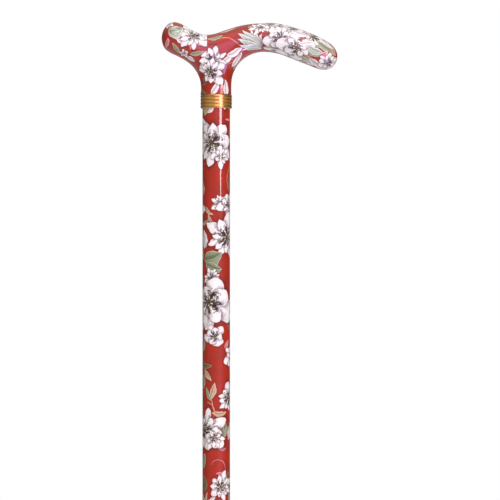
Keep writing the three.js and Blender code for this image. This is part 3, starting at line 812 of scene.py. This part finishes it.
def smooth_outline(knots, steps=8):
    """A closed centripetal Catmull-Rom curve through the knots."""
    p = np.array(knots, float)
    before, here, after, beyond = (np.roll(p, -k, axis=0) for k in (-1, 0, 1, 2))
    gaps = [np.linalg.norm(b - a, axis=1, keepdims=True) ** 0.5 for a, b in
            ((before, here), (here, after), (after, beyond))]
    first, middle, last = gaps
    across = (after - here) / middle
    leave = ((here - before) / first - (after - before) / (first + middle) + across) * middle
    enter = (across - (beyond - here) / (middle + last) + (beyond - after) / last) * middle
    points = []
    for t in np.arange(steps) / steps:
        points.append((2 * t**3 - 3 * t**2 + 1) * here + (t**3 - 2 * t**2 + t) * leave
                      + (3 * t**2 - 2 * t**3) * after + (t**3 - t**2) * enter)
    return np.stack(points, axis=1).reshape(-1, 2)


OUTLINE = smooth_outline(handle_knots())


def depth_inside(points):
    """Distance from (X, Z) points to the outline, positive inside, and the unit direction inwards."""
    flat = points.reshape(-1, 2)
    start = OUTLINE
    step = np.roll(OUTLINE, -1, axis=0) - OUTLINE
    depth = np.empty(len(flat))
    inward = np.empty((len(flat), 2))
    for low in range(0, len(flat), 4000):
        part = flat[low:low + 4000, None, :]
        share = np.clip(((part - start) * step).sum(-1) / (step**2).sum(-1), 0, 1)
        away = part - (start + share[..., None] * step)
        distance = np.linalg.norm(away, axis=-1)
        nearest = distance.argmin(axis=1)
        rows = np.arange(len(nearest))
        rise = np.where(step[:, 1] == 0, 1e-12, step[:, 1])
        level = (start[:, 1] > part[..., 1]) != ((start + step)[:, 1] > part[..., 1])
        crosses = level & (part[..., 0] < start[:, 0] + (part[..., 1] - start[:, 1]) / rise * step[:, 0])
        sign = np.where(crosses.sum(axis=1) % 2 == 1, 1.0, -1.0)
        reach = np.maximum(distance[rows, nearest], 1e-9)
        depth[low:low + 4000] = sign * reach
        inward[low:low + 4000] = away[rows, nearest] * (sign / reach)[:, None]
    return depth.reshape(points.shape[:-1]), inward.reshape(points.shape)


def half_thickness(x):
    swell = np.cos((x - PALM_SWELL["centre"]) / PALM_SWELL["reach"] * math.pi)
    return HALF_THICKNESS + PALM_SWELL["rise"] * swell


def handle_field(x, y, depth):
    """Positive inside: the sections are round at the edge and level off EDGE_ROUNDING further in."""
    share = np.minimum(depth / EDGE_ROUNDING, 1)
    return half_thickness(x) ** 2 * (2 * share - share**2) - y**2


def net_surface(axes, values):
    """One vertex for each grid cell that the surface crosses, and a quad round each crossed grid edge."""
    inside = values > 0
    cells = tuple(n - 1 for n in values.shape)
    total = np.zeros((*cells, 3))
    crossings = np.zeros(cells)
    offsets = [(i, j, k) for i in (0, 1) for j in (0, 1) for k in (0, 1)]
    for a in offsets:
        for axis in range(3):
            if a[axis]:
                continue
            b = tuple(v + (n == axis) for n, v in enumerate(a))
            va, vb = (values[tuple(slice(o, o + c) for o, c in zip(off, cells))] for off in (a, b))
            crossed = (va > 0) != (vb > 0)
            share = np.where(crossed, va / np.where(crossed, va - vb, 1), 0)
            for n in range(3):
                total[..., n] += np.where(crossed, a[n] + share * (n == axis), 0)
            crossings += crossed
    used = crossings > 0
    index = np.full(cells, -1)
    index[used] = np.arange(used.sum())
    corner = np.argwhere(used)
    spacing = np.array([axis[1] - axis[0] for axis in axes])
    origin = np.array([axis[0] for axis in axes])
    points = origin + (corner + total[used] / crossings[used][:, None]) * spacing
    quads = []
    for axis in range(3):
        u, v = (axis + 1) % 3, (axis + 2) % 3
        here = [slice(1, -1)] * 3
        ahead = list(here)
        ahead[axis] = slice(2, None)
        changed = np.argwhere(inside[tuple(here)] != inside[tuple(ahead)]) + 1
        ring = []
        for du, dv in ((0, 0), (1, 0), (1, 1), (0, 1)):
            cell = changed.copy()
            cell[:, u] -= du
            cell[:, v] -= dv
            ring.append(index[tuple(cell.T)])
        ring = np.stack(ring, axis=1)
        outwards = inside[tuple(changed.T)]
        quads.append(np.where(outwards[:, None], ring, ring[:, ::-1]))
    return points, np.concatenate(quads)


def handle_mesh(cell=1.1):
    """The surface of handle_field on a grid of cell millimetres, cut level at the neck's face."""
    margin = 2 * cell
    low, high = OUTLINE.min(axis=0) - margin, OUTLINE.max(axis=0) + margin
    reach = HALF_THICKNESS + PALM_SWELL["rise"] + margin
    xs, zs = np.arange(low[0], high[0], cell), np.arange(low[1], high[1], cell)
    ys = np.arange(-reach, reach, cell)
    depth, _ = depth_inside(np.stack(np.meshgrid(xs, zs, indexing="ij"), axis=-1))
    values = handle_field(xs[:, None, None], ys[None, :, None], depth[:, None, :])
    points, quads = net_surface((xs, ys, zs), values)
    # Each pass moves the points nearer to the true surface.
    for _ in range(5):
        x, y = points[:, 0], points[:, 1]
        depth, inward = depth_inside(points[:, [0, 2]])
        share = np.minimum(depth / EDGE_ROUNDING, 1)
        fall = half_thickness(x) ** 2 * (2 - 2 * share) / EDGE_ROUNDING
        slope = np.stack([fall * inward[:, 0], -2 * y, fall * inward[:, 1]], axis=1)
        steep = (slope**2).sum(axis=1)
        move = -handle_field(x, y, depth) / steep
        most = cell / 2 / np.sqrt(steep)
        points = points + slope * np.clip(move, -most, most)[:, None]
    mesh = bpy.data.meshes.new("handle")
    mesh.from_pydata((points * MM).tolist(), [], quads.tolist())
    bm = bmesh.new()
    bm.from_mesh(mesh)
    bmesh.ops.smooth_vert(bm, verts=bm.verts, factor=0.35,
                          use_axis_x=True, use_axis_y=True, use_axis_z=True)
    everything = bm.verts[:] + bm.edges[:] + bm.faces[:]
    cut = bmesh.ops.bisect_plane(bm, geom=everything, plane_co=(0, 0, NECK_FACE * MM),
                                 plane_no=(0, 0, -1), clear_outer=True)
    rim = [e for e in cut["geom_cut"] if isinstance(e, bmesh.types.BMEdge)]
    bmesh.ops.contextual_create(bm, geom=rim)
    bmesh.ops.recalc_face_normals(bm, faces=bm.faces)
    bm.to_mesh(mesh)
    bm.free()
    return mesh


def add_film(mesh):
    """The handle's film coordinates: its side view, unrolled outwards round the edges."""
    co = np.empty(len(mesh.vertices) * 3, np.float32)
    mesh.vertices.foreach_get("co", co)
    points = co.reshape(-1, 3) / MM
    depth, inward = depth_inside(points[:, [0, 2]])
    thickness = half_thickness(points[:, 0])
    lean = np.arcsin(np.clip(np.abs(points[:, 1]) / thickness, 0, 1))
    spill = thickness * (math.pi / 2 - lean) - EDGE_ROUNDING * np.cos(lean)
    film = points[:, [0, 2]] - inward * np.maximum(spill, 0)[:, None]
    corner = np.empty(len(mesh.loops), np.int64)
    mesh.loops.foreach_get("vertex_index", corner)
    layer = mesh.uv_layers.new(name="film")
    layer.data.foreach_set("uv", film[corner].astype(np.float32).ravel())


def handle():
    """The handle with its blind bores for the spigot and, further up, for the screw."""
    below = NECK_FACE * MM - 2 * MM
    spigot_bore = (8.0 * MM, 830 * MM)
    screw_bore = (2.8 * MM, 847 * MM)
    tools = []
    for radius, top in (spigot_bore, screw_bore):
        tools.append((turned([(0, below), (radius, below), (radius, top), (0, top)], 64), (0, 0, 0)))
    mesh = carved(handle_mesh(), tools)
    add_film(mesh)
    return piece("handle_shell", mesh, "handle", [PRINTED_HANDLE], 50)


# ---- Collar and tubes ----

def collar():
    """A ring with four rounded ridges."""
    ridges = 4
    groove = COLLAR_RADIUS - 0.6 * MM
    rise = COLLAR_RADIUS - groove
    bore = TUBE_RADIUS + GAP
    pitch = (COLLAR_HIGH - COLLAR_LOW) / ridges
    profile = [(bore, COLLAR_LOW), (groove - 0.1 * MM, COLLAR_LOW)]
    for ridge in range(ridges):
        for share in np.linspace(0.06, 0.94, 13):
            height = COLLAR_LOW + (ridge + share) * pitch
            profile.append((groove + rise * math.sin(share * math.pi) ** 0.4, height))
    profile += [(groove - 0.1 * MM, COLLAR_HIGH), (bore, COLLAR_HIGH)]
    return piece("collar_ring", turned(profile, 128), "collar", [GOLD], 60)


def tube(name, node, radius, low, high, button_holes, outside, pin_holes=()):
    """A tube with rounded ends, button holes at its front and pin holes at its sides. Its cut edges
    and its bore are bare metal."""
    bore = radius - WALL
    rim = 0.35 * MM
    steps = np.arange(low + 2 * MM, high - 2 * MM, 6 * MM)
    outer_wall = [(radius, z) for z in steps]
    inner_wall = [(bore, z) for z in reversed(steps)]
    profile = [(bore, low), (radius - rim, low), (radius, low + rim), *outer_wall,
               (radius, high - rim), (radius - rim, high), (bore, high), *inner_wall]
    tools = []
    for height in button_holes:
        tools.append((bar(BUTTON_RADIUS + GAP, radius + rim), (0, 0, height)))
    for height in pin_holes:
        for side in (-1, 1):
            hole = bar(PIN_HOLE_RADIUS, radius + rim, 24)
            hole.transform(Matrix.Rotation(side * math.pi / 2, 4, "Z"))
            tools.append((hole, (0, 0, height)))
    mesh = carved(turned(profile, 96), tools)
    obj = piece(name, mesh, node, [outside, BARE_ALUMINIUM], 30)
    for polygon in mesh.polygons:
        if math.hypot(polygon.center.x, polygon.center.y) < radius - rim * 0.6:
            polygon.material_index = 1
    return obj


def upper_tube():
    heights = [BUTTON_HEIGHT + n * HOLE_PITCH for n in range(-HOLES_EACH_WAY, HOLES_EACH_WAY + 1)]
    return tube("upper_tube_shell", "upper_tube", TUBE_RADIUS, TUBE_LOW, TUBE_HIGH, heights,
                PRINTED_TUBE, [PIN_HEIGHT])


def lower_tube():
    return tube("lower_tube_shell", "lower_tube", LOWER_RADIUS, LOWER_LOW, LOWER_HIGH,
                [BUTTON_HEIGHT], ANODISED)


def snap_button():
    """A round button with a domed end and a flange that keeps it in the tube."""
    flange, front, back = 4.7 * MM, 6.4 * MM, -BUTTON_HIGH.y
    dome = 1.8 * MM
    shoulder = -BUTTON_LOW.y - dome
    profile = [(0, back), (flange, back), (flange, front), (BUTTON_RADIUS, front)]
    for turn in np.radians(np.arange(0, 90, 9)):
        profile.append((BUTTON_RADIUS * math.cos(turn), shoulder + dome * math.sin(turn)))
    profile.append((0, shoulder + dome))
    mesh = laid_forward(turned(profile, 48))
    mesh.transform(Matrix.Translation((0, 0, BUTTON_HEIGHT)))
    return piece("snap_button_dome", mesh, "snap_button", [BRASS], 40)


def button_spring():
    """A hairpin of flat steel."""
    half_gauge, half_width = 0.3 * MM, 3.5 * MM
    bend = 3.5 * MM
    front_leg = -4.3 * MM
    # (Y, Z) along the strip: down the front leg, round the bend and up the back leg to its bent end.
    line = [(front_leg, BUTTON_HEIGHT + 6 * MM), (front_leg, BUTTON_HEIGHT - 8 * MM)]
    for turn in np.radians(np.arange(180, 361, 10)):
        line.append((bend * math.cos(turn), BUTTON_HEIGHT - 36 * MM + bend * math.sin(turn)))
    line += [(6.8 * MM, BUTTON_HEIGHT - 4 * MM), (6.2 * MM, BUTTON_HEIGHT + 1 * MM)]
    points = []
    for n, (y, z) in enumerate(line):
        before, after = line[max(n - 1, 0)], line[min(n + 1, len(line) - 1)]
        way = np.array(after) - np.array(before)
        across = np.array((-way[1], way[0])) / np.linalg.norm(way) * half_gauge
        for x, side in ((-half_width, -1), (half_width, -1), (half_width, 1), (-half_width, 1)):
            points.append((x, y + side * across[0], z + side * across[1]))
    last = 4 * (len(line) - 1)
    faces = [(0, 1, 2, 3), (last, last + 1, last + 2, last + 3)]
    for start in range(0, last, 4):
        for k in range(4):
            beside = (k + 1) % 4
            faces.append((start + k, start + beside, start + 4 + beside, start + 4 + k))
    mesh = bpy.data.meshes.new("button_spring_strip")
    mesh.from_pydata(points, [], faces)
    tidied(mesh, 1e-7).materials.append(STEEL)
    obj = show("button_spring_strip", mesh)
    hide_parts("button_spring")
    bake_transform(obj)
    return obj


# ---- Clamp ----

THREAD_PITCH = 3 * MM
THREAD_DEPTH = 0.7 * MM
THREAD_ROOT = 12.3 * MM
THREAD_LOW, THREAD_HIGH = 242.2 * MM, 254.2 * MM


def thread_rise(angles, heights, end):
    """A right-hand triangular thread's rise above its root. It starts at THREAD_LOW and runs out at end."""
    turns = heights / THREAD_PITCH - (angles - math.pi / 2) / (2 * math.pi)
    share = np.abs(turns - np.floor(turns) - 0.5) * 2
    run_out = np.clip(np.minimum(heights - THREAD_LOW, end - heights) / (THREAD_PITCH / 2), 0, 1)
    return THREAD_DEPTH * share * run_out


def threaded(root, end):
    """A shift for turned() that threads the wall of radius root."""
    def shift(angles, radii, heights):
        wall = np.abs(radii - root) < 0.01 * MM
        return radii + np.where(wall, thread_rise(angles, heights, end), 0)
    return shift


def thread_wall(root, low, high):
    """Outline points close enough together to carry the thread."""
    return [(root, z) for z in np.arange(low, high, THREAD_PITCH / 10)]


def lock_socket():
    """The clamp's upper half: a threaded mouth with an inner cone, and a sleeve with three grip grooves."""
    shoulder = NUT_HIGH + 0.4 * MM
    bore = TUBE_RADIUS + GAP
    seat = TUBE_LOW - GAP
    inner = TUBE_RADIUS - WALL
    mouth = 11.4 * MM
    cone_slope = 0.16
    cone_top = SOCKET_LOW + (mouth - inner) / cone_slope
    grip_low, grip_high = shoulder + 5 * MM, SOCKET_HIGH - 6 * MM
    grip = []
    for groove in range(3):
        middle = grip_low + (groove + 0.5) * (grip_high - grip_low) / 3
        for step, sink in ((-1.2, 0), (-0.8, 0.35), (0, 0.6), (0.8, 0.35), (1.2, 0)):
            grip.append((SOCKET_RADIUS - sink * MM, middle + step * MM))
    thread = thread_wall(THREAD_ROOT, SOCKET_LOW + 0.3 * MM, shoulder - 0.2 * MM)
    profile = [(mouth, SOCKET_LOW), (THREAD_ROOT - 0.2 * MM, SOCKET_LOW), *thread, (THREAD_ROOT, shoulder),
               (SOCKET_RADIUS, shoulder), *grip, (SOCKET_RADIUS, SOCKET_HIGH),
               (bore, SOCKET_HIGH), (bore, seat), (inner, seat), (inner, cone_top)]
    mesh = turned(soften(profile, 1 * MM), 96, threaded(THREAD_ROOT, THREAD_HIGH))
    return piece("lock_socket_shell", mesh, "lock_socket", [BLACK_NYLON], 28)


def lock_nut():
    """The clamp's nut: fluted outside, threaded inside, with a floor that pulls the wedge along."""
    flutes = 12
    depth = 0.9 * MM
    flute_floor = 13.6 * MM
    root = THREAD_ROOT + 0.4 * MM
    floor_top = NUT_LOW + 4 * MM
    hole = LOWER_RADIUS + 0.5 * MM
    mouth = root + 0.3 * MM
    walls = [(NUT_RADIUS, z) for z in np.arange(NUT_LOW + 3 * MM, NUT_HIGH - 2.5 * MM, 1 * MM)]
    inside = list(reversed(thread_wall(root, floor_top + 2.5 * MM, NUT_HIGH - 0.3 * MM)))
    profile = [(hole, NUT_LOW), (NUT_RADIUS, NUT_LOW), *walls, (NUT_RADIUS, NUT_HIGH),
               (mouth, NUT_HIGH), *inside, (root, floor_top), (hole, floor_top)]
    thread = threaded(root, NUT_HIGH + THREAD_PITCH)

    def shift(angles, radii, heights):
        fluted = np.clip((radii - flute_floor) / (1.2 * MM), 0, 1)
        from_ends = np.minimum(heights - NUT_LOW - 2 * MM, NUT_HIGH - 2.5 * MM - heights)
        ends = np.clip(from_ends / (1.5 * MM), 0, 1)
        wave = np.clip(0.5 + 0.9 * np.cos(flutes * angles), 0, 1)
        return thread(angles, radii, heights) - depth * fluted * ends * wave

    mesh = turned(soften(profile, 1.1 * MM, 6), 192, shift)
    return piece("lock_nut_shell", mesh, "lock_nut", [BLACK_NYLON], 28)


# ---- Ferrule ----

def ferrule():
    """The rubber foot: a ringed tread, a flared base, a grooved sleeve and a rolled rim."""
    sleeve = 12.4 * MM
    socket = LOWER_RADIUS + GAP
    socket_floor = LOWER_LOW - 2.1 * MM
    tread = 1.2 * MM
    profile = [(0, 0)]
    for start in (5.5 * MM, 10 * MM, 14.5 * MM):
        end = start + 1.6 * MM
        profile += [(start, 0), (start, tread), (end, tread), (end, 0)]
    profile += [(FERRULE_RADIUS - 1 * MM, 0), (FERRULE_RADIUS, 1 * MM), (FERRULE_RADIUS, 6 * MM)]
    for turn in np.radians(np.arange(0, 91, 7.5)):
        profile.append((sleeve + (FERRULE_RADIUS - 1 * MM - sleeve) * (1 - math.sin(turn)),
                        7 * MM + 14 * MM * (1 - math.cos(turn))))
    for groove in (25.5, 29.5, 33.5):
        for step, sink in ((-0.9, 0), (-0.5, 0.45), (0.5, 0.45), (0.9, 0)):
            profile.append((sleeve - sink * MM, (groove + step) * MM))
    profile += [(sleeve, FERRULE_HIGH - 5 * MM), (sleeve + 0.9 * MM, FERRULE_HIGH - 4 * MM),
                (sleeve + 0.9 * MM, FERRULE_HIGH - 1 * MM), (sleeve, FERRULE_HIGH), (socket, FERRULE_HIGH),
                (socket, socket_floor), (0, socket_floor)]
    mesh = turned(soften(profile, 0.35 * MM, 3), 128)
    return piece("ferrule_boot", mesh, "ferrule", [RUBBER], 40)


# ---- Build the pieces ----

handle()
collar()
upper_tube()
lower_tube()
snap_button()
button_spring()
lock_socket()
lock_nut()
ferrule()

# Small parts inside the others keep the CAD's shape and only take a material.
CARRIED_OVER = {
    "handle_spigot": PALE_NYLON,
    "screw_washer": STEEL,
    "handle_screw": STEEL,
    "retaining_pin_left": STEEL,
    "retaining_pin_right": STEEL,
    "lock_wedge": PALE_NYLON,
    "glide_bush": PALE_NYLON,
    "ferrule_disc": STEEL,
}
for node, material in CARRIED_OVER.items():
    for slot in frame["nodes"][node].material_slots:
        slot.material = material


# ---- Floor, light and camera ----

def floor():
    material, g = new_material("floor")
    clouds = g.ramp(g.noise(g.place(), 3.0, 2.0), 0.3, 0.7)
    shade(g, g.mix(clouds, (0.86, 0.86, 0.86), (0.84, 0.84, 0.84)), 0.7)
    mesh = bpy.data.meshes.new("floor")
    reach = 2.2
    corners = [(-reach, -reach, 0), (reach, -reach, 0), (reach, reach, 0), (-reach, reach, 0)]
    mesh.from_pydata(corners, [], [(0, 1, 2, 3)])
    mesh.materials.append(material)
    obj = show("floor", mesh)
    obj.location.z = -0.0004


def world():
    """Pure white behind the object for the camera. Everything else sees a dim studio, dimmer on the
    right: a bright strip at the front right that starts just above the camera's height, a lilac glow
    beside it and a violet patch low down."""
    surroundings = bpy.data.worlds.new("studio")
    bpy.context.scene.world = surroundings
    surroundings.use_nodes = True
    surroundings.node_tree.nodes.clear()
    g = Graph(surroundings.node_tree)
    way = g.node("ShaderNodeTexCoord")
    x, y, z = g.split(Term(g, way.outputs["Generated"]))
    turn = g.maths("ARCTAN2", x, y * -1)
    azimuth = turn * (180 / math.pi)
    rise = g.maths("ARCSINE", z) * (180 / math.pi)

    def band(value, low, high, edge):
        return g.ramp(value, low - edge, low + edge) * g.ramp(value, high + edge, high - edge)

    def light(colour, strength):
        background = g.node("ShaderNodeBackground")
        background.inputs["Color"].default_value = (*colour, 1)
        g.feed(background.inputs["Strength"], strength)
        return background.outputs[0]

    def plus(first, second):
        both = g.node("ShaderNodeAddShader")
        g.tree.links.new(first, both.inputs[0])
        g.tree.links.new(second, both.inputs[1])
        return both.outputs[0]

    width = 3.5 + 6.5 * g.ramp(rise, 1.0, 3.2)
    strip = band(azimuth, 38 - width, 38 + width, 1.2) * band(rise, 1.05, 34, 0.25)
    dimmer_above = 1 - 0.66 * g.ramp(rise, 3.1, 4.2)
    below = band(azimuth, 28, 50, 4) * band(rise, -18, -5.8, 0.6)
    glow = band(azimuth, -10, 34, 10) * band(rise, 3.6, 20, 1.4)
    front = g.ramp(g.maths("COSINE", turn), -0.35, 0.8)
    dimmer_right = 1 - 0.45 * g.ramp(g.maths("SINE", turn), 0.25, 0.95)
    walls = 0.12 + 0.16 * front + (0.5 + 0.5 * front) * g.ramp(rise, 8, 50)
    studio = light((0.97, 0.97, 1.0), walls * dimmer_right)
    studio = plus(studio, light((1.0, 0.93, 0.97), 15 * strip * dimmer_above))
    studio = plus(studio, light((0.9, 0.5, 1.0), 3.2 * glow))
    studio = plus(studio, light((0.5, 0.42, 1.0), 8 * below))
    path = g.node("ShaderNodeLightPath")
    blend = g.node("ShaderNodeMixShader")
    g.tree.links.new(path.outputs["Is Camera Ray"], blend.inputs[0])
    g.tree.links.new(studio, blend.inputs[1])
    g.tree.links.new(light((1.0, 1.0, 1.0), 1.0), blend.inputs[2])
    leave = g.node("ShaderNodeOutputWorld")
    g.tree.links.new(blend.outputs[0], leave.inputs["Surface"])


def round_place(azimuth, distance, height):
    """A place round the shaft's axis: azimuth 0 is the camera's side, growing to +X."""
    turn = math.radians(azimuth)
    return Vector((distance * math.sin(turn), -distance * math.cos(turn), height))


def area_light(name, place, facing, width, tall, radiance, colour=(1, 1, 1)):
    """A rectangular light. The rotation facing turns it from shining straight down."""
    data = bpy.data.lights.new(name, "AREA")
    data.shape = "RECTANGLE"
    data.size = width
    data.size_y = tall
    data.energy = radiance * math.pi * width * tall
    data.color = colour
    obj = bpy.data.objects.new(name, data)
    bpy.context.scene.collection.objects.link(obj)
    obj.location = place
    obj.rotation_mode = "QUATERNION"
    obj.rotation_quaternion = facing
    obj.visible_camera = False
    return obj


def lights():
    """A soft light overhead, and a low lilac card that gives no diffuse light and shows as a sheen in
    glossy surfaces, the flared neck among them.
    """
    overhead = round_place(20, 1.4, 2.4)
    at_shaft = (Vector((0, 0, 0.6)) - overhead).to_track_quat("-Z", "Y")
    area_light("top", overhead, at_shaft, 1.2, 1.2, 2.8)
    azimuth = 38
    upwards = Matrix.Rotation(math.radians(azimuth), 3, "Z") @ Matrix.Rotation(math.pi, 3, "X")
    card = area_light("neck_sheen", round_place(azimuth, 1.0, 0.3), upwards.to_quaternion(), 0.36, 1.3,
                      7, (0.55, 0.42, 1.0))
    card.visible_diffuse = False


def camera():
    """A long lens, level with the middle of the picture: 400 mm of the object across the frame."""
    data = bpy.data.cameras.new("camera")
    data.lens = 200
    data.sensor_width = 36
    frame_width = 0.4
    distance = frame_width * data.lens / data.sensor_width
    obj = bpy.data.objects.new("camera", data)
    bpy.context.scene.collection.objects.link(obj)
    middle = ((HANDLE_LOW.x + HANDLE_HIGH.x) / 2 + 0.35 * MM, HANDLE_HIGH.z - 182.1 * MM)
    obj.location = (middle[0], -distance, middle[1])
    obj.rotation_euler = (math.pi / 2, 0, 0)
    data.clip_end = 50
    bpy.context.scene.camera = obj


floor()
world()
lights()
camera()
bpy.context.scene.view_settings.view_transform = "Standard"
